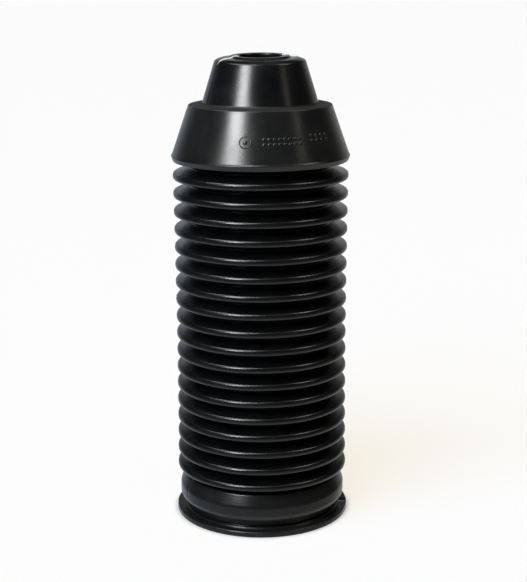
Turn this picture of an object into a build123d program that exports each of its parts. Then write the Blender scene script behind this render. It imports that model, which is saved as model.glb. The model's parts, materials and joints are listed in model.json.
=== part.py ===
from build123d import *
import os

# Rubber bellows boot: a dust cover that stands round a damper's piston rod. One moulded wall of
# revolution about Z: a stepped cap with the rod's hole, a run of alike folds that lets the boot
# shorten, and a bellied collar on a thin flange that snaps over the seat below.
# Millimetres, standing on its flange at z = 0.

# Foot flange and collar
seat_bore_radius = 31.4  # inside of the collar's foot, which grips the seat
collar_wall = 2.0
flange_width = 5.2  # how far the flange stands out from the collar's foot
flange_thickness = 2.2
bead_width = 1.2  # low step in the corner between flange and collar
bead_height = 0.7
foot_rise = 0.7  # straight foot, from the bead to where the collar swells
foot_round = 0.8
swell_share = 0.48  # of the step from foot to belly, taken by the slope under the belly
swell_rise = 0.9
belly_inset = 0.6  # how far the belly's widest ring lies inside the folds' crests
belly_half_low = 6.5  # from the belly's lower end up to its widest ring
belly_half_high = 6.0
belly_tuck = 3.9  # how far the belly's upper end turns in again
belly_land = 2.4  # flat ring inside the belly
collar_to_fold = 1.25  # from the belly's upper end to the middle of the first groove

# Folds
fold_count = 18
fold_pitch = 7.68  # of the middle folds
fold_sag = 0.19  # how much closer the lowest folds lie, under the boot's weight; the topmost open as much
fold_depth = 6.7
fold_wall = 1.2
crest_radius = 37.5  # of the middle folds
end_flare = 0.45  # how much wider the end folds are
crest_thickness = 2.7  # the edge of a fold: a land with a chamfer on each side
crest_land = 1.1
crest_chamfer = 0.8
root_land = 2.4  # flat bottom of a groove

# Cap: lip, lower cone, ledge, upper cone, and a low boss round the rod's hole
cap_wall = 2.0
lip_rise = 2.51  # from the middle of the last groove up to the lip
lip_thickness = 2.1
lip_overhang = 0.65  # how far the lip stands out past the topmost crest
lip_undercut = 0.8  # how far the lip's lower edge lies inside its upper one
lip_flare = 0.3  # how far the lip stands out from the line of the lower cone
lip_flare_rise = 0.8
lower_cone_rise = 21.6
ledge_width = 5.6
ledge_drop = 0.7  # the ledge sheds water: its outer edge lies this much lower
ledge_round = 1.1
upper_cone_rise = 18.0
upper_cone_flare = 5.6
crown_round = 2.5
crown_width = 5.6  # from the boss out to the upper cone's top corner
boss_rise = 2.2
boss_width = 4.15
boss_round = 0.7
rod_bore_radius = 9.55
crown_wall = 3.9  # rubber round the rod's hole, from the boss down to the ceiling

foot_radius = seat_bore_radius + collar_wall
flange_radius = foot_radius + flange_width
bead_top = flange_thickness + bead_height
foot_top = bead_top + foot_rise
swell_top = foot_top + swell_rise
belly_radius, belly_height = crest_radius - belly_inset, swell_top + belly_half_low
swell_radius = foot_radius + swell_share * (belly_radius - foot_radius)
tuck_radius, tuck_height = belly_radius - belly_tuck, belly_height + belly_half_high
first_root = tuck_height + collar_to_fold
last_root = first_root + fold_count * fold_pitch
middle_fold = (fold_count - 1) / 2
root_radius = crest_radius - fold_depth
inner_root_radius = root_radius - fold_wall
inner_root_land = root_land + 1.5 * fold_wall  # keeps the wall even round a groove's corners
lip_radius = crest_radius + end_flare + lip_overhang
lip_bottom = last_root + lip_rise
lip_top = lip_bottom + lip_thickness
boss_radius = rod_bore_radius + boss_width
crown_radius = boss_radius + crown_width
upper_cone_radius = crown_radius + upper_cone_flare
ledge_radius = upper_cone_radius + ledge_width
ledge_height = lip_top + lower_cone_rise
flare_slope = (lip_radius - lip_flare - ledge_radius) / lower_cone_rise
ledge_foot = ledge_height + ledge_drop
crown_height = ledge_foot + upper_cone_rise
boss_top = crown_height + boss_rise
ceiling = boss_top - crown_wall


def root_at(groove):
    """Height of a groove's middle. The pitch grows evenly from the lowest fold to the topmost."""
    gained = groove * ((groove - 1) / 2 - middle_fold) / middle_fold
    return first_root + groove * fold_pitch + fold_sag * gained


def crest_at(fold):
    """Radius and height of a fold's crest. The run has a slight waist: its end folds are wider."""
    flare = end_flare * ((fold - middle_fold) / middle_fold) ** 2
    return crest_radius + flare, (root_at(fold) + root_at(fold + 1)) / 2


def outer_folds():
    """Corners up the outside of the folds, from the first groove to the last."""
    corners = [(root_radius, first_root - root_land / 2)]
    for fold in range(fold_count):
        radius, height = crest_at(fold)
        corners += [
            (root_radius, root_at(fold) + root_land / 2),
            (radius - crest_chamfer, height - crest_thickness / 2),
            (radius, height - crest_land / 2),
            (radius, height + crest_land / 2),
            (radius - crest_chamfer, height + crest_thickness / 2),
            (root_radius, root_at(fold + 1) - root_land / 2),
        ]
    return corners + [(root_radius, last_root + root_land / 2)]


def inner_folds():
    """Corners down the inside: a sharp valley behind each crest, a land behind each groove."""
    corners = [(inner_root_radius, last_root + inner_root_land / 2)]
    for fold in reversed(range(fold_count)):
        radius, height = crest_at(fold)
        corners += [
            (inner_root_radius, root_at(fold + 1) - inner_root_land / 2),
            (radius - fold_wall, height),
            (inner_root_radius, root_at(fold) + inner_root_land / 2),
        ]
    return corners + [(inner_root_radius, first_root - inner_root_land / 2)]


with BuildPart() as bellows_boot:
    with BuildSketch(Plane.XZ):
        with BuildLine():
            foot = FilletPolyline(
                (seat_bore_radius, 0),
                (flange_radius, 0),
                (flange_radius, flange_thickness),
                (foot_radius + bead_width, flange_thickness),
                (foot_radius + bead_width, bead_top),
                (foot_radius, bead_top),
                (foot_radius, foot_top),
                (swell_radius, swell_top),
                radius=[0, 0, 0, 0, 0, foot_round],
            )
            ThreePointArc(foot @ 1, (belly_radius, belly_height), (tuck_radius, tuck_height))
            folds = Polyline((tuck_radius, tuck_height), *outer_folds())
            cap = FilletPolyline(
                folds @ 1,
                (lip_radius - lip_undercut, lip_bottom),
                (lip_radius, lip_top),
                (lip_radius - lip_flare - flare_slope * lip_flare_rise, lip_top + lip_flare_rise),
                (ledge_radius, ledge_height),
                (upper_cone_radius, ledge_foot),
                (crown_radius, crown_height),
                (boss_radius, crown_height),
                (boss_radius, boss_top),
                (rod_bore_radius, boss_top),
                (rod_bore_radius, ceiling),
                radius=[0, 0, 0, ledge_round, 0, crown_round, 0, boss_round, 0],
            )
            inside = Polyline(
                cap @ 1,
                (crown_radius - cap_wall, ceiling),
                (upper_cone_radius - cap_wall, ledge_foot - cap_wall),
                (ledge_radius - cap_wall, ledge_height - cap_wall),
                (lip_radius - lip_flare - cap_wall, lip_top),
                (lip_radius - lip_undercut - cap_wall, lip_bottom + cap_wall / 2),
                *inner_folds(),
                (tuck_radius, tuck_height - collar_wall),
            )
            Polyline(
                inside @ 1,
                (belly_radius - collar_wall, belly_height + belly_land / 2),
                (belly_radius - collar_wall, belly_height - belly_land / 2),
                (swell_radius - collar_wall, swell_top + collar_wall / 2),
                (seat_bore_radius, foot_top + collar_wall / 2),
                foot @ 0,
            )
        make_face()
    revolve(axis=Axis.Z)

bellows_boot.part.label = "bellows_boot"
os.makedirs("parts", exist_ok=True)
export_step(bellows_boot.part, "parts/bellows_boot.step")
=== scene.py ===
import json
import math

import bmesh
import bpy
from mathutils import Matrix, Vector

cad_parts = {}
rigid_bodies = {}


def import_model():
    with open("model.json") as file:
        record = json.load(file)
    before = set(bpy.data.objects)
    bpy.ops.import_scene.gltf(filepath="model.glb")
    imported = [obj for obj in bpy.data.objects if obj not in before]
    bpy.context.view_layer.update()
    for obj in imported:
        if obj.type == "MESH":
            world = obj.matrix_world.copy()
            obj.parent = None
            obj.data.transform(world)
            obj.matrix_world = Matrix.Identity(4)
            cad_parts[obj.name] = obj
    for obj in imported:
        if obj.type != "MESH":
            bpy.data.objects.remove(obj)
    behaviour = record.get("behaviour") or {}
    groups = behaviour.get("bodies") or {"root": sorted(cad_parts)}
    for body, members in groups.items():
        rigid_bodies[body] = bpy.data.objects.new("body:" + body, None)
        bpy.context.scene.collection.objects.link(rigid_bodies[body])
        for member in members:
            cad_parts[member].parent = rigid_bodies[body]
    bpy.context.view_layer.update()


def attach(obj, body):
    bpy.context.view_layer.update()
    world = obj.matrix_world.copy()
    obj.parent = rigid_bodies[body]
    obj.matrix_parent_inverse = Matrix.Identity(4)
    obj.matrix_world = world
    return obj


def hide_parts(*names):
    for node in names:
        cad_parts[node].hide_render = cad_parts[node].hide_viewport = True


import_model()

mm = 0.001


# small helpers for node trees

class Value:
    # an output socket that can stand in a sum: each sign adds one Math node to its tree
    def __init__(self, tree, socket):
        self.tree, self.socket = tree, socket

    def __add__(self, other):
        return calc(self.tree, "ADD", self, other)

    def __sub__(self, other):
        return calc(self.tree, "SUBTRACT", self, other)

    def __rsub__(self, other):
        return calc(self.tree, "SUBTRACT", other, self)

    def __mul__(self, other):
        return calc(self.tree, "MULTIPLY", self, other)

    def __truediv__(self, other):
        return calc(self.tree, "DIVIDE", self, other)

    def __rtruediv__(self, other):
        return calc(self.tree, "DIVIDE", other, self)

    def __mod__(self, other):
        return calc(self.tree, "MODULO", self, other)


def plug(tree, value, socket):
    # a value from another node is linked, anything else is the socket's own setting
    if isinstance(value, Value):
        tree.links.new(value.socket, socket)
    else:
        socket.default_value = value


def addNode(tree, kind, sockets=None, **settings):
    made = tree.nodes.new(kind)
    for key, setting in settings.items():
        setattr(made, key, setting)
    for name, value in (sockets or {}).items():
        plug(tree, value, made.inputs[name])
    return made


def result(tree, kind, sockets=None, outlet=0, **settings):
    return Value(tree, addNode(tree, kind, sockets, **settings).outputs[outlet])


def calc(tree, operation, *values):
    return result(tree, "ShaderNodeMath", dict(enumerate(values)), operation=operation)


def shift(tree, value, low, high, newLow=0.0, newHigh=1.0, **settings):
    sockets = {"Value": value, "From Min": low, "From Max": high, "To Min": newLow, "To Max": newHigh}
    return result(tree, "ShaderNodeMapRange", sockets, **settings)


def band(tree, height, limits):
    # four heights in mm: 0 below the first, 1 between the middle two, 0 above the last
    low, full, last, high = (limit * mm for limit in limits)
    return shift(tree, height, low, full) * shift(tree, height, high, last)


def mix(tree, share, first, second, kind="FLOAT"):
    firstSlot, secondSlot, outlet = {"FLOAT": (2, 3, 0), "RGBA": (6, 7, 2)}[kind]
    return result(tree, "ShaderNodeMix", {0: share, firstSlot: first, secondSlot: second}, outlet, data_type=kind)


def axesOf(tree, vector):
    axes = addNode(tree, "ShaderNodeSeparateXYZ", {0: vector}).outputs
    return [Value(tree, axes[letter]) for letter in "XYZ"]


def vectorOf(tree, x=0.0, y=0.0, z=0.0):
    return result(tree, "ShaderNodeCombineXYZ", {"X": x, "Y": y, "Z": z})


def onCircle(tree, radius, angle, height):
    # angles are counted from the front, towards +X
    across = radius * calc(tree, "SINE", angle)
    return vectorOf(tree, across, radius * calc(tree, "COSINE", angle) * -1.0, height)


def scaled(tree, vector, scale):
    node = addNode(tree, "ShaderNodeVectorMath", {0: vector}, operation="SCALE")
    plug(tree, scale, node.inputs["Scale"])
    return Value(tree, node.outputs[0])


def moved(tree, body, **places):
    return result(tree, "GeometryNodeSetPosition", {"Geometry": body, **places})


def joined(tree, *bodies):
    node = addNode(tree, "GeometryNodeJoinGeometry")
    for body in bodies:
        plug(tree, body, node.inputs[0])
    return Value(tree, node.outputs[0])


def newTree(name, values):
    # one named input for each value: a whole number, a number or a material
    tree = bpy.data.node_groups.new(name, "GeometryNodeTree")
    tree.interface.new_socket("Geometry", in_out="INPUT", socket_type="NodeSocketGeometry")
    for label, value in values.items():
        isMaterial = isinstance(value, bpy.types.Material)
        kind = "Material" if isMaterial else "Int" if isinstance(value, int) else "Float"
        socket = tree.interface.new_socket(label, in_out="INPUT", socket_type="NodeSocket" + kind)
        if not isMaterial:
            socket.default_value = value
    tree.interface.new_socket("Geometry", in_out="OUTPUT", socket_type="NodeSocketGeometry")
    outlets = tree.nodes.new("NodeGroupInput").outputs
    return tree, {label: Value(tree, outlets[label]) for label in ("Geometry", *values)}


def endTree(tree, geometry, material):
    real = result(tree, "GeometryNodeRealizeInstances", {"Geometry": geometry})
    coated = result(tree, "GeometryNodeSetMaterial", {"Geometry": real, "Material": material})
    plug(tree, coated, tree.nodes.new("NodeGroupOutput").inputs[0])
    return tree


# small helpers for pieces

closeGap = 0.003 * mm  # corners nearer than this are one corner


def bakeModifier(piece, modifier):
    bpy.context.view_layer.update()
    graph = bpy.context.evaluated_depsgraph_get()
    mesh = bpy.data.meshes.new_from_object(piece.evaluated_get(graph), depsgraph=graph)
    piece.modifiers.remove(modifier)
    piece.data = mesh
    mesh.name = piece.name


def runTree(piece, tree, values):
    # sets the inputs by identifier, then turns the evaluated result into a plain mesh
    modifier = piece.modifiers.new(tree.name, "NODES")
    modifier.node_group = tree
    for item in tree.interface.items_tree:
        if item.in_out == "INPUT" and item.name in values:
            modifier[item.identifier] = values[item.name]
    bakeModifier(piece, modifier)


def addPiece(name, points, edges=(), faces=()):
    mesh = bpy.data.meshes.new(name)
    mesh.from_pydata([Vector(point) for point in points], edges, faces)
    piece = bpy.data.objects.new(name, mesh)
    bpy.context.scene.collection.objects.link(piece)
    return piece


def finishPiece(piece, smooth=True):
    # one closed skin, faces outward, on the boot's body in place of its plain solid
    work = bmesh.new()
    work.from_mesh(piece.data)
    bmesh.ops.remove_doubles(work, verts=work.verts, dist=closeGap)
    bmesh.ops.recalc_face_normals(work, faces=work.faces)
    loose = [edge for edge in work.edges if len(edge.link_faces) != 2]
    work.to_mesh(piece.data)
    work.free()
    if smooth:
        piece.data.shade_smooth()
        bakeModifier(piece, piece.modifiers.new("evenNormals", "WEIGHTED_NORMAL"))  # wide faces stay true
    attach(piece, "root")
    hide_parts("bellows_boot")
    count = sum(len(face.vertices) - 2 for face in piece.data.polygons)
    print(piece.name, "made,", count, "triangles,", len(loose), "open edges")


# camera: its height, distance and tilt give the boot its outline

cameraPlace = dict(distance=569 * mm, height=238.8 * mm, side=1.0 * mm, down=14.65, lean=-0.25, lens=81.94,
                   rise=0.0394, near=0.01, far=60)

cameraData = bpy.data.cameras.new("camera")
cameraData.lens = cameraPlace["lens"]
cameraData.shift_y = cameraPlace["rise"]
cameraData.clip_start, cameraData.clip_end = cameraPlace["near"], cameraPlace["far"]
camera = bpy.data.objects.new("camera", cameraData)
camera.location = (cameraPlace["side"], -cameraPlace["distance"], cameraPlace["height"])
camera.rotation_euler = (math.radians(90 - cameraPlace["down"]), 0, 0)
camera.rotation_euler.rotate_axis("Z", math.radians(cameraPlace["lean"]))
bpy.context.scene.collection.objects.link(camera)
bpy.context.scene.camera = camera
print("camera placed")


# black moulded rubber: satin, a little mottled, with faint flow marks, a thin dusty bloom, and painted light that
# lightens the lower cone and the collar

rubberLook = dict(
    # bloom is the lighter colour of the specks, the cloudy bloom, and the dust and painted light on the lower cone and
    # the collar
    ior=1.42, colour=(0.0018, 0.0020, 0.0023, 1), bloom=(0.050, 0.050, 0.047, 1),
    bloomShare=0.03, dustAndLightShare=0.10, dustAndLightLeast=0.5, speckShare=0.5,
    roughLow=0.21, roughHigh=0.30, ledgeRough=0.35,
    cloudSize=14 * mm, speckSize=1.5 * mm, grainSize=0.5 * mm, grainDepth=0.008 * mm,
    flowSize=6 * mm, flowSquash=6.0, flowDepth=0.036 * mm,
    coarseDetail=5.0, fineDetail=4.0, speckDetail=1.0, noiseRough=0.6,
    # the stretch of each noise that is used
    roughSpan=(0.3, 0.7), bloomSpan=(0.45, 0.75), dustAndLightSpan=(0.25, 0.65), speckSpan=(0.78, 0.84),
    # heights in mm: the ledge, the lower cone, and the collar from its top down; the last two are made lighter with
    # dust and painted light
    ledgeBand=(182.3, 182.9, 183.5, 184.0), coneBand=(156, 163, 182.4, 184.2), collarTop=21, collarFull=16,
)


def makeRubber(look):
    material = bpy.data.materials.new("mouldedRubber")
    material.use_nodes = True
    tree = material.node_tree
    shader = tree.nodes["Principled BSDF"]
    place = result(tree, "ShaderNodeTexCoord", outlet="Object")
    height = axesOf(tree, place)[2]

    def noise(size, detail, where=place):
        sockets = {"Vector": where, "Scale": 1 / size, "Detail": detail, "Roughness": look["noiseRough"]}
        return result(tree, "ShaderNodeTexNoise", sockets)

    # roughness: cloudy, and the ledge between the cones is matt
    cloud = noise(look["cloudSize"], look["coarseDetail"])
    satin = shift(tree, cloud, *look["roughSpan"], look["roughLow"], look["roughHigh"])
    plug(tree, satin + band(tree, height, look["ledgeBand"]) * look["ledgeRough"], shader.inputs["Roughness"])

    # colour: specks, a cloudy bloom, and a lighter film on the lower cone and the collar, partly dust and partly
    # painted light that brightens these parts
    specks = shift(tree, noise(look["speckSize"], look["speckDetail"]), *look["speckSpan"], 0.0, look["speckShare"])
    bloom = shift(tree, cloud, *look["bloomSpan"], 0.0, look["bloomShare"])
    # painted light with some dust in it: the lower cone and the collar are made lighter
    onCollar = shift(tree, height, look["collarTop"] * mm, look["collarFull"] * mm)
    dustAndLightZone = calc(tree, "MAXIMUM", band(tree, height, look["coneBand"]), onCollar)
    dustAndPaintedLight = dustAndLightZone * look["dustAndLightShare"] * shift(tree, cloud, *look["dustAndLightSpan"], look["dustAndLightLeast"], 1.0)
    powderAndPaintedLight = calc(tree, "MAXIMUM", calc(tree, "MAXIMUM", specks, bloom), dustAndPaintedLight)
    plug(tree, mix(tree, powderAndPaintedLight, look["colour"], look["bloom"], "RGBA"), shader.inputs["Base Color"])

    # surface: fine grain under flow marks that lie flat round the boot
    squashed = result(tree, "ShaderNodeMapping", {"Vector": place, "Scale": (1, 1, look["flowSquash"])})
    grain = result(tree, "ShaderNodeBump", {
        "Height": noise(look["grainSize"], look["fineDetail"]), "Distance": look["grainDepth"]})
    flow = result(tree, "ShaderNodeBump", {
        "Height": noise(look["flowSize"], look["coarseDetail"], squashed), "Distance": look["flowDepth"],
        "Normal": grain})
    plug(tree, flow, shader.inputs["Normal"])
    shader.inputs["IOR"].default_value = look["ior"]
    return material


rubber = makeRubber(rubberLook)
print("rubber made")


# the boot's skin: the corners of the collar and the cap are given, the tree makes the run of folds between them,
# rounds every corner and turns the outline about the axis; lengths in mm, angles in degrees

folds = dict(count=18, pitch=7.68, closing=0.19, firstRoot=18.25, crestRadius=37.5, endFlare=0.45, crestHalf=1.25,
             rootRadius=30.8, rootHalf=0.5, wall=1.2, crestRound=1.2, crestSteps=3, rootRound=0.6, rootSteps=2,
             seamShare=0.12)
turning = dict(stepsPerHalf=91, cornerJoin=0.01, skinJoin=0.002)
seam = dict(steps=5, angle=-64.0, halfAngle=0.9, height=0.14)
wave = dict(depth=0.28, size=26.0, detail=2.0, seed=7.0, band=(3, 20, 190, 201))
rim = dict(slant=0.034, low=198.5, full=201.5)
nick = dict(angle=88.0, half=2.0, depth=0.95, inner=34.9, low=1.0, full=1.8, top=2.6)

# each corner: radius, height, rounding, steps on its round, then how much of the seam shows
collarCorners = [
    (30.8, 19.2, 0.4, 2, 0.2), (30.8, 18.2, 0.4, 2, 0.2), (34.9, 18.1, 0.85, 5, 1), (36.95, 12.9, 5.0, 7, 0.5),
    (36.95, 8.0, 5.0, 7, 0.6), (35.1, 4.3, 0.9, 4, 0.6), (33.5, 3.55, 0.3, 2, 0.2), (33.4, 2.9, 0.2, 2, 0.2),
    (34.6, 2.9, 0.35, 3, 0.2), (34.7, 2.3, 0.25, 2, 0.2), (38.56, 2.3, 0.45, 4, 0.2), (38.56, 0, 0.15, 2, 0.2),
    (31.4, 0, 0.4, 3, 0), (31.4, 4.6, 1.0, 3, 0), (33.1, 5.6, 1.2, 3, 0), (34.9, 9.8, 3.0, 4, 0),
    (34.9, 12.4, 2.0, 4, 0), (33.2, 16.3, 0.8, 3, 0), (29.6, 16.9, 0.8, 3, 0), (29.6, 19.7, 0.8, 2, 0),
]
capCorners = [
    (29.6, 155.11, 1.0, 2, 0), (29.6, 157.9, 1.0, 3, 0), (35.8, 159.8, 0.8, 3, 0), (36.3, 161.1, 0.5, 2, 0),
    (28.5, 180.7, 1.0, 3, 0), (22.9, 181.4, 0.5, 2, 0), (17.3, 199.7, 1.0, 3, 0), (9.55, 199.7, 0.4, 3, 0),
    (9.55, 202.95, 0.45, 4, 1), (12.3, 203.1, 1.1, 5, 1), (13.3, 202.4, 0.4, 3, 1), (17.1, 202.0, 2.2, 5, 1),
    (19.35, 201.15, 1.4, 6, 1), (25.0, 183.0, 0.25, 3, 0.7), (26.4, 183.35, 0.6, 3, 0.4),
    (30.75, 182.65, 0.75, 6, 0.2), (38.05, 161.9, 0.7, 3, 0.2), (38.56, 161.1, 0.3, 3, 0.2),
    (37.8, 159.0, 0.4, 3, 0.2), (30.8, 157.0, 0.6, 2, 0.2), (30.8, 155.99, 0.6, 2, 0.2),
]
# steps along the run after these corners
longRuns = {(36.3, 161.1): 2, (22.9, 181.4): 2, (13.3, 202.4): 3, (19.35, 201.15): 7, (30.75, 182.65): 8}


def innerFold(size):
    # the inside of a fold lies one wall thickness in from its flanks
    rise = size["pitch"] / 2 - size["crestHalf"] - size["rootHalf"]
    slope = rise / (size["crestRadius"] - size["rootRadius"])
    drop = size["wall"] * (math.sqrt(1 + slope * slope) - slope)
    return size["crestHalf"] - drop, size["rootHalf"] + drop


def heightAt(size, turn):
    # a groove at each whole turn, a crest half way between; the folds close up a little towards the foot
    closed = size["closing"] * turn * (turn - size["count"]) / (size["count"] - 1)
    return size["firstRoot"] + turn * size["pitch"] + closed


def outlinePiece(size):
    # two open chains of corners, from the lowest and from the topmost crest inwards
    crest = size["crestRadius"] + size["endFlare"]
    innerCrest, innerHalf = crest - size["wall"], innerFold(size)[0]
    low, high = heightAt(size, 0.5), heightAt(size, size["count"] - 0.5)
    outer, inner = (size["crestRound"], size["crestSteps"], 1), (0, 1, 0)
    chains = [
        [(crest, low - size["crestHalf"], *outer), *collarCorners, (innerCrest, low - innerHalf, *inner)],
        [(innerCrest, high + innerHalf, *inner), *capCorners, (crest, high + size["crestHalf"], *outer)],
    ]
    corners, edges = [], []
    for chain in chains:
        for corner, following in zip(chain, chain[1:] + [None]):
            steps = longRuns.get(corner[:2], 1)
            corners.append(corner)
            for step in range(1, steps):
                radius, height = (a + (b - a) * step / steps for a, b in zip(corner[:2], following[:2]))
                corners.append((radius, height, 0, 1, corner[4]))
            if following:
                edges += [(at - 1, at) for at in range(len(corners) - steps + 1, len(corners) + 1)]
    piece = addPiece("bootShell", [(corner[0] * mm, 0, corner[1] * mm) for corner in corners], edges)
    facts = (("cornerRound", "FLOAT", 2, mm), ("cornerSteps", "INT", 3, 1), ("outside", "FLOAT", 4, 1))
    for name, kind, column, unit in facts:
        attribute = piece.data.attributes.new(name, kind, "POINT")
        attribute.data.foreach_set("value", [corner[column] * unit for corner in corners])
    return piece


def foldRun(tree, size, inside):
    # four corners to a fold: the crest's lower and upper edge, then the root's
    index = result(tree, "GeometryNodeInputIndex")
    fold = calc(tree, "FLOOR", index / 4.0)
    corner = index % 4.0
    isRoot = calc(tree, "GREATER_THAN", corner, 1.5)
    side = corner % 2.0 * 2.0 - 1.0
    middle = (size["Fold Count"] - 1.0) * 0.5
    fromMiddle = (fold - middle) / middle
    crest = size["Crest Radius"] + fromMiddle * fromMiddle * size["End Flare"]
    root = size["Root Radius"]
    if inside:
        half = mix(tree, isRoot, size["Inner Crest Half"], size["Inner Root Half"])
        crest, root = crest - size["Wall"], root - size["Wall"]
        cornerRound = mix(tree, isRoot, 0.0, size["Root Round"] + size["Wall"])
        cornerSteps, outside = 1, 0.0
    else:
        half = mix(tree, isRoot, size["Crest Half"], size["Root Half"])
        cornerRound = mix(tree, isRoot, size["Crest Round"], size["Root Round"])
        cornerSteps = mix(tree, isRoot, float(folds["crestSteps"]), float(folds["rootSteps"]))
        outside = folds["seamShare"]

    turn = fold + (isRoot * 0.5 + 0.5)
    fromTop = (turn - size["Fold Count"]) / (size["Fold Count"] - 1.0)
    pitch = size["Fold Pitch"] + size["Fold Closing"] * fromTop
    height = size["First Root"] + (turn * pitch + side * half)
    corners = size["Fold Count"] * 4.0 - 2.0
    line = result(tree, "GeometryNodeMeshLine", {"Count": corners, "Offset": (0, 0, mm)})
    run = moved(tree, line, Position=vectorOf(tree, x=mix(tree, isRoot, crest, root), z=height))
    facts = (("cornerRound", "FLOAT", cornerRound), ("cornerSteps", "INT", cornerSteps), ("outside", "FLOAT", outside))
    for name, kind, value in facts:
        sockets = {"Geometry": run, "Name": name, "Value": value}
        run = result(tree, "GeometryNodeStoreNamedAttribute", sockets, data_type=kind, domain="POINT")
    return run


def wholeOutline(tree, size):
    # the given corners and the folds, joined into one closed loop and rounded
    loop = joined(tree, size["Geometry"], foldRun(tree, size, False), foldRun(tree, size, True))
    closed = result(tree, "GeometryNodeMergeByDistance", {"Geometry": loop, "Distance": turning["cornerJoin"] * mm})
    sockets = {
        "Curve": result(tree, "GeometryNodeMeshToCurve", {"Mesh": closed}),
        "Radius": result(tree, "GeometryNodeInputNamedAttribute", {"Name": "cornerRound"}, data_type="FLOAT"),
        "Count": result(tree, "GeometryNodeInputNamedAttribute", {"Name": "cornerSteps"}, data_type="INT"),
        "Limit Radius": True,
    }
    return result(tree, "GeometryNodeFilletCurve", sockets, mode="POLY")


def turnedSkin(tree, size, outline):
    # a grid of outline points by turning steps
    count = result(tree, "GeometryNodeAttributeDomainSize", {"Geometry": outline}, "Point Count", component="CURVE")
    turns = size["Half Steps"] * 2.0 + 1.0
    sockets = {"Size X": 1.0, "Size Y": 1.0, "Vertices X": count + 1.0, "Vertices Y": turns}
    grid = result(tree, "GeometryNodeMeshGrid", sockets)
    index = result(tree, "GeometryNodeInputIndex")
    along = calc(tree, "FLOOR", (index + 0.5) / turns) % count
    around = index % turns

    def sample(value, kind):
        sockets = {"Geometry": outline, "Value": value, "Index": along}
        return result(tree, "GeometryNodeSampleIndex", sockets, data_type=kind, domain="POINT")

    outside = result(tree, "GeometryNodeInputNamedAttribute", {"Name": "outside"}, data_type="FLOAT")
    skin = sample(outside, "FLOAT")
    spot = axesOf(tree, sample(result(tree, "GeometryNodeInputPosition"), "FLOAT_VECTOR"))
    lean = axesOf(tree, sample(result(tree, "GeometryNodeInputTangent"), "FLOAT_VECTOR"))

    # turning angle: fine steps across the mould seam, even ones over the rest of each half
    halfTurn = calc(tree, "FLOOR", (around + 0.5) / size["Half Steps"])
    step = around - halfTurn * size["Half Steps"]
    inSeam = calc(tree, "MINIMUM", step, size["Seam Steps"])
    seamTurn = (inSeam * 2.0 / size["Seam Steps"] - 1.0) * size["Seam Half Angle"]
    restStep = (math.pi - size["Seam Half Angle"] * 2.0) / (size["Half Steps"] - size["Seam Steps"])
    restTurn = calc(tree, "MAXIMUM", step - size["Seam Steps"], 0.0) * restStep
    angle = size["Seam Angle"] + halfTurn * math.pi + (seamTurn + restTurn)

    # the seam stands up at right angles to the outline
    fromSeam = seamTurn / size["Seam Half Angle"]
    ridge = 1.0 - calc(tree, "MINIMUM", fromSeam * fromSeam, 1.0)
    raised = ridge * size["Seam Height"] * skin
    radius, height = spot[0] + raised * lean[2], spot[2] - raised * lean[0]
    return moved(tree, grid, Position=onCircle(tree, radius, angle, height))


def slantRim(tree, size, body):
    # the trimmed crown slants: a little higher behind
    y, z = axesOf(tree, result(tree, "GeometryNodeInputPosition"))[1:]
    slant = y * size["Rim Slant"] * shift(tree, z, rim["low"] * mm, rim["full"] * mm)
    return moved(tree, body, Offset=vectorOf(tree, z=slant))


def nickFlange(tree, size, body):
    # a small nick across the top of the flange
    x, y, z = axesOf(tree, result(tree, "GeometryNodeInputPosition"))
    apart = calc(tree, "ABSOLUTE", calc(tree, "ARCTAN2", x, y * -1.0) - size["Nick Angle"])
    parted = calc(tree, "MAXIMUM", 1.0 - apart / size["Nick Half"], 0.0)
    outward = calc(tree, "GREATER_THAN", calc(tree, "SQRT", x * x + y * y), nick["inner"] * mm)
    onTop = shift(tree, z, nick["low"] * mm, nick["full"] * mm) * calc(tree, "LESS_THAN", z, nick["top"] * mm)
    return moved(tree, body, Offset=vectorOf(tree, z=parted * outward * onTop * size["Nick Depth"] * -1.0))


def waveSkin(tree, size, body):
    # moulded rubber is never quite true: a slow wave, none at the foot and the rod hole
    here = result(tree, "GeometryNodeInputPosition")
    sockets = {"Vector": here, "W": size["Seed"], "Scale": 1.0 / size["Wave Size"], "Detail": wave["detail"]}
    noise = result(tree, "ShaderNodeTexNoise", sockets, "Color", noise_dimensions="4D")
    centred = result(tree, "ShaderNodeVectorMath", {0: noise, 1: (0.5, 0.5, 0.5)}, operation="SUBTRACT")
    depth = size["Wave Depth"] * band(tree, axesOf(tree, here)[2], wave["band"])
    return moved(tree, body, Offset=scaled(tree, centred, depth))


def bootTree(values):
    tree, size = newTree("turnedBellows", values)
    body = turnedSkin(tree, size, wholeOutline(tree, size))
    for change in (slantRim, nickFlange, waveSkin):
        body = change(tree, size, body)
    skinned = result(tree, "GeometryNodeMergeByDistance", {"Geometry": body, "Distance": turning["skinJoin"] * mm})
    return endTree(tree, skinned, size["Material"])


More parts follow.
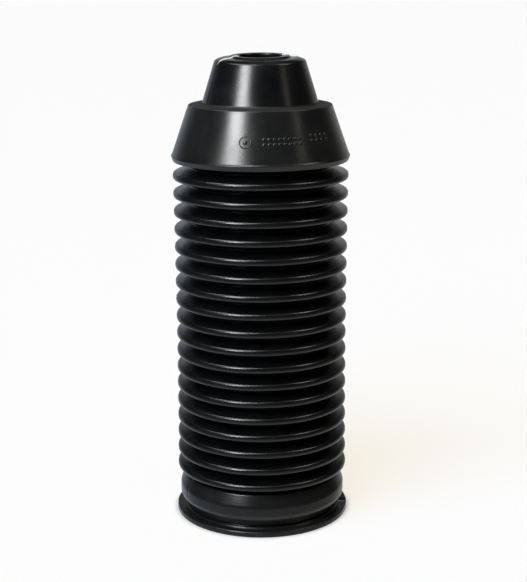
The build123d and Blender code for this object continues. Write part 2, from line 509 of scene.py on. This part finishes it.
innerCrestHalf, innerRootHalf = innerFold(folds)
bootValues = {
    "Fold Count": folds["count"], "Fold Pitch": folds["pitch"] * mm, "Fold Closing": folds["closing"] * mm,
    "First Root": folds["firstRoot"] * mm, "Crest Radius": folds["crestRadius"] * mm,
    "End Flare": folds["endFlare"] * mm, "Crest Half": folds["crestHalf"] * mm,
    "Inner Crest Half": innerCrestHalf * mm, "Root Radius": folds["rootRadius"] * mm,
    "Root Half": folds["rootHalf"] * mm, "Inner Root Half": innerRootHalf * mm, "Wall": folds["wall"] * mm,
    "Crest Round": folds["crestRound"] * mm, "Root Round": folds["rootRound"] * mm,
    "Half Steps": turning["stepsPerHalf"], "Seam Steps": seam["steps"], "Seam Angle": math.radians(seam["angle"]),
    "Seam Half Angle": math.radians(seam["halfAngle"]), "Seam Height": seam["height"] * mm,
    "Rim Slant": rim["slant"], "Nick Angle": math.radians(nick["angle"]), "Nick Half": math.radians(nick["half"]),
    "Nick Depth": nick["depth"] * mm, "Wave Depth": wave["depth"] * mm, "Wave Size": wave["size"] * mm,
    "Seed": wave["seed"], "Material": rubber,
}
bootShell = outlinePiece(folds)
runTree(bootShell, bootTree(bootValues), bootValues)
finishPiece(bootShell)


# plain raised marks on the lower cone: a ring with a button, and two groups of pips; lengths in mm, angles in degrees

cone = dict(topRadius=30.75, topHeight=182.65, slope=0.352)
ring = dict(radius=2.35, sides=44, bead=0.26, beadSides=10, angle=-10.1, height=170.5)
button = dict(radius=0.95, rise=0.35, segments=24, rings=12)
pip = dict(radius=0.85, rise=0.26, segments=12, rings=7)
pipGroups = {
    "widePips": dict(columns=8, rows=2, start=2.6, step=3.55, low=169.6, gap=2.0),
    "narrowPips": dict(columns=4, rows=2, start=37.0, step=4.6, low=170.3, gap=2.0),
}

coneValues = {"Top Radius": cone["topRadius"] * mm, "Top Height": cone["topHeight"] * mm, "Slope": cone["slope"],
              "Material": rubber}


def coneSpot(tree, size, angle, height):
    # a place on the cone and the turn that stands a mark on it
    radius = size["Top Radius"] + (size["Top Height"] - height) * size["Slope"]
    tip = math.pi / 2 - calc(tree, "ARCTANGENT", size["Slope"])
    return onCircle(tree, radius, angle, height), vectorOf(tree, x=tip, z=angle)


def ball(tree, shape):
    sockets = {"Segments": shape["segments"], "Rings": shape["rings"], "Radius": 1.0}
    return result(tree, "GeometryNodeMeshUVSphere", sockets)


def pipTree(values):
    tree, size = newTree("pipRows", values)
    index = result(tree, "GeometryNodeInputIndex")
    row = calc(tree, "FLOOR", (index + 0.5) / size["Columns"])
    angle = size["Start"] + index % size["Columns"] * size["Step"]
    spot, turn = coneSpot(tree, size, angle, size["Low"] + row * size["Gap"])
    line = result(tree, "GeometryNodeMeshLine", {"Count": size["Columns"] * size["Rows"]})
    pips = result(tree, "GeometryNodeInstanceOnPoints", {
        "Points": moved(tree, line, Position=spot), "Instance": ball(tree, pip),
        "Rotation": result(tree, "FunctionNodeEulerToRotation", {"Euler": turn}),
        "Scale": vectorOf(tree, size["Pip Radius"], size["Pip Radius"], size["Pip Rise"])})
    return endTree(tree, pips, size["Material"])


def ringTree(values):
    tree, size = newTree("ringMark", values)
    bead = result(tree, "GeometryNodeCurvePrimitiveCircle", {"Resolution": ring["beadSides"], "Radius": size["Bead"]})
    hoop = result(tree, "GeometryNodeCurvePrimitiveCircle", {"Resolution": ring["sides"], "Radius": size["Ring"]})
    tube = result(tree, "GeometryNodeCurveToMesh", {"Curve": hoop, "Profile Curve": bead})
    flat = vectorOf(tree, size["Button"], size["Button"], size["Button Rise"])
    middle = result(tree, "GeometryNodeTransform", {"Geometry": ball(tree, button), "Scale": flat})
    spot, turn = coneSpot(tree, size, size["Angle"], size["Height"])
    placed = result(tree, "GeometryNodeTransform", {
        "Geometry": joined(tree, tube, middle), "Translation": spot, "Rotation": turn})
    return endTree(tree, placed, size["Material"])


def pipValues(group):
    return {
        "Columns": group["columns"], "Rows": group["rows"], "Start": math.radians(group["start"]),
        "Step": math.radians(group["step"]), "Low": group["low"] * mm, "Gap": group["gap"] * mm,
        "Pip Radius": pip["radius"] * mm, "Pip Rise": pip["rise"] * mm, **coneValues}


pipMaker = pipTree(pipValues(pipGroups["widePips"]))
for name, group in pipGroups.items():
    pips = addPiece(name, [(0, 0, 0)])
    runTree(pips, pipMaker, pipValues(group))
    finishPiece(pips)

ringValues = {
    "Ring": ring["radius"] * mm, "Bead": ring["bead"] * mm, "Angle": math.radians(ring["angle"]),
    "Height": ring["height"] * mm, "Button": button["radius"] * mm, "Button Rise": button["rise"] * mm, **coneValues}
ringMark = addPiece("ringMark", [(0, 0, 0)])
runTree(ringMark, ringTree(ringValues), ringValues)
finishPiece(ringMark)


# mould flash at the crown; lengths in mm, angles in degrees

def addStrip(name, slices, smooth):
    # a closed bar through slices of four corners each
    last = 4 * (len(slices) - 1)
    corners = [corner * mm for part in slices for corner in part]
    faces = [(at + k, at + (k + 1) % 4, at + 4 + (k + 1) % 4, at + 4 + k) for at in range(0, last, 4) for k in range(4)]
    faces += [(0, 1, 2, 3), tuple(last + k for k in range(4))]
    finishPiece(addPiece(name, corners, [], faces), smooth)


def outwardAt(degrees):
    return Vector((math.sin(math.radians(degrees)), -math.cos(math.radians(degrees)), 0))


# thin fins along the mould's parting line, each a run of radius, foot and top at one angle
finTopShare = 0.35
fins = {
    "rimFin": dict(angle=104, half=0.30, run=[
        (9.7, 201.2, 203.4), (10.4, 201.2, 203.58), (11.3, 201.2, 203.5), (12.2, 201.2, 203.58),
        (13.0, 201.2, 203.3), (13.7, 201.2, 203.5), (14.4, 201.2, 203.2), (15.0, 201.2, 203.45),
        (15.5, 201.2, 202.9), (16.1, 201.2, 201.9)]),
    "crownFin": dict(angle=-64, half=0.13, run=[
        (9.8, 202.0, 203.1), (11.2, 202.0, 203.3), (12.3, 201.8, 203.15), (13.0, 201.5, 202.8),
        (14.6, 201.3, 202.5), (16.5, 201.0, 202.3), (17.6, 200.7, 201.95), (18.5, 200.3, 201.55),
        (19.2, 199.6, 200.9), (19.6, 198.9, 200.1)]),
}

for name, fin in fins.items():
    outward, across = outwardAt(fin["angle"]), outwardAt(fin["angle"] + 90)
    bottom, top = fin["half"], fin["half"] * finTopShare
    slices = []
    for radius, foot, peak in fin["run"]:
        places = ((-bottom, foot), (bottom, foot), (top, peak), (-top, peak))
        slices.append([outward * radius + across * side + Vector((0, 0, height)) for side, height in places])
    addStrip(name, slices, smooth=False)

# a torn flap along the left of the rod hole, its edge uneven
flap = dict(start=-80, stop=-16, steps=22, outer=9.9, least=0.35, reach=0.6, height=201.75, thick=0.16, lift=0.25,
            ragged=((0.16, 17), (0.1, 41)))

slices = []
for step in range(flap["steps"] + 1):
    share = step / flap["steps"]
    ragged = 1 + sum(depth * math.sin(pace * share) for depth, pace in flap["ragged"])
    inner = flap["outer"] - flap["least"] - flap["reach"] * math.sin(math.pi * share) * ragged
    outward = outwardAt(flap["start"] + share * (flap["stop"] - flap["start"]))
    lift, thick = flap["lift"] * share, flap["thick"]
    places = ((flap["outer"], 0), (inner, lift), (inner, lift + thick), (flap["outer"], thick))
    slices.append([outward * radius + Vector((0, 0, flap["height"] + rise)) for radius, rise in places])
addStrip("holeFlap", slices, smooth=True)


# floor, lights and surroundings

studio = dict(
    floorRadius=9.0, floorSides=96, floorColour=(0.93, 0.93, 0.93, 1), floorRough=0.9, floorSheen=0.1,
    backdrop=(0.974, 0.974, 0.974, 1), front=0.062, back=0.58, roof=0.015, above=0.4, below=1.05,
    ambient=(0.06, 0.06, 0.06, 1), coolSide=(0.88, 0.97, 1.08, 1), warmSide=(0.92, 0.90, 0.84, 1), sideSpan=(-0.6, 0.6),
    backSpan=(0.45, 0.97), heightSpans=dict(roof=(0.25, 0.42), above=(0.60, 0.95), below=(-0.10, -0.70)),
)
lampAim = Vector((0, 0, 0.12))
lamps = {
    "keySoftbox": dict(turn=-38, rise=32, away=1.1, width=0.34, tall=0.40, power=14, colour=(0.97, 0.985, 1.0)),
    "warmFill": dict(turn=59, rise=29, away=1.2, width=0.15, tall=0.22, power=0.22, colour=(1.0, 0.95, 0.80)),
    "upperPanel": dict(turn=-36, rise=61, away=1.2, width=0.60, tall=0.28, power=7.0, colour=(0.98, 0.99, 1.0)),
    "leftPanel": dict(turn=-92, rise=60, away=1.2, width=0.36, tall=0.36, power=4.0, colour=(0.95, 0.98, 1.0)),
    "rightPanel": dict(turn=84, rise=52, away=1.2, width=0.24, tall=0.40, power=3.0, colour=(1.0, 0.97, 0.88)),
}
floorLights = {  # soft light from above, and a cooler one from the front left that leaves the faint warm shadow
    "overhead": dict(tilt=0, turn=0, spread=2, strength=2.75, colour=(1.063, 1.0, 0.875)),
    "openSky": dict(tilt=50, turn=-38, spread=50, strength=0.635, colour=(0.60, 1.0, 1.87)),
}

floorMaterial = bpy.data.materials.new("paleFloor")
floorMaterial.use_nodes = True
floorShader = floorMaterial.node_tree.nodes["Principled BSDF"]
floorShader.inputs["Base Color"].default_value = studio["floorColour"]
floorShader.inputs["Roughness"].default_value = studio["floorRough"]
floorShader.inputs["Specular IOR Level"].default_value = studio["floorSheen"]

sides = range(studio["floorSides"])
floorEdge = [outwardAt(360 * side / len(sides)) * studio["floorRadius"] for side in sides]
floor = addPiece("floor", floorEdge, [], [tuple(sides)])
floor.data.materials.append(floorMaterial)
floor.visible_glossy = False


def addLight(name, kind, lamp, energy, receivers):
    light = bpy.data.lights.new(name, kind)
    light.energy, light.color = energy, lamp["colour"]
    holder = bpy.data.objects.new(name, light)
    holder.light_linking.receiver_collection = receivers
    bpy.context.scene.collection.objects.link(holder)
    return light, holder


boot = bpy.data.collections.new("litByPanels")
for piece in bpy.context.scene.objects:
    if piece.type == "MESH" and piece is not floor:
        boot.objects.link(piece)
for name, lamp in lamps.items():
    light, holder = addLight(name, "AREA", lamp, lamp["power"], boot)
    light.shape = "RECTANGLE"
    light.size, light.size_y = lamp["width"], lamp["tall"]
    rise = math.radians(lamp["rise"])
    aim = outwardAt(lamp["turn"]) * math.cos(rise) + Vector((0, 0, math.sin(rise)))
    holder.location = aim * lamp["away"] + lampAim
    holder.rotation_euler = aim.to_track_quat("Z", "Y").to_euler()
    holder.visible_camera = False

ground = bpy.data.collections.new("litByFloorLights")
ground.objects.link(floor)
for name, lamp in floorLights.items():
    light, holder = addLight(name, "SUN", lamp, lamp["strength"], ground)
    light.angle = math.radians(lamp["spread"])
    holder.rotation_euler = (math.radians(lamp["tilt"]), 0, math.radians(lamp["turn"]))

# what the boot mirrors: dark in front, lighter behind, with zones above and below; the camera sees a plain backdrop
world = bpy.data.worlds.new("studio")
bpy.context.scene.world = world
world.use_nodes = True
tree = world.node_tree
x, y, z = axesOf(tree, result(tree, "ShaderNodeTexCoord", outlet="Generated"))
level = shift(tree, y, *studio["backSpan"], studio["front"], studio["back"], interpolation_type="SMOOTHSTEP")
for zone, span in studio["heightSpans"].items():
    level = mix(tree, shift(tree, z, *span, interpolation_type="SMOOTHSTEP"), level, studio[zone])
sideTint = mix(tree, shift(tree, x, *studio["sideSpan"]), studio["coolSide"], studio["warmSide"], "RGBA")
path = addNode(tree, "ShaderNodeLightPath").outputs
isDiffuse, isSeen = Value(tree, path["Is Diffuse Ray"]), Value(tree, path["Is Camera Ray"])
glow = tree.nodes["Background"]
plug(tree, mix(tree, isDiffuse, scaled(tree, sideTint, level), studio["ambient"], "RGBA"), glow.inputs["Color"])
seen = result(tree, "ShaderNodeBackground", {"Color": studio["backdrop"], "Strength": 1.0})
either = result(tree, "ShaderNodeMixShader", {0: isSeen, 1: Value(tree, glow.outputs[0]), 2: seen})
plug(tree, either, tree.nodes["World Output"].inputs[0])
bpy.context.scene.view_settings.view_transform = "Standard"
print("floor and lights placed")
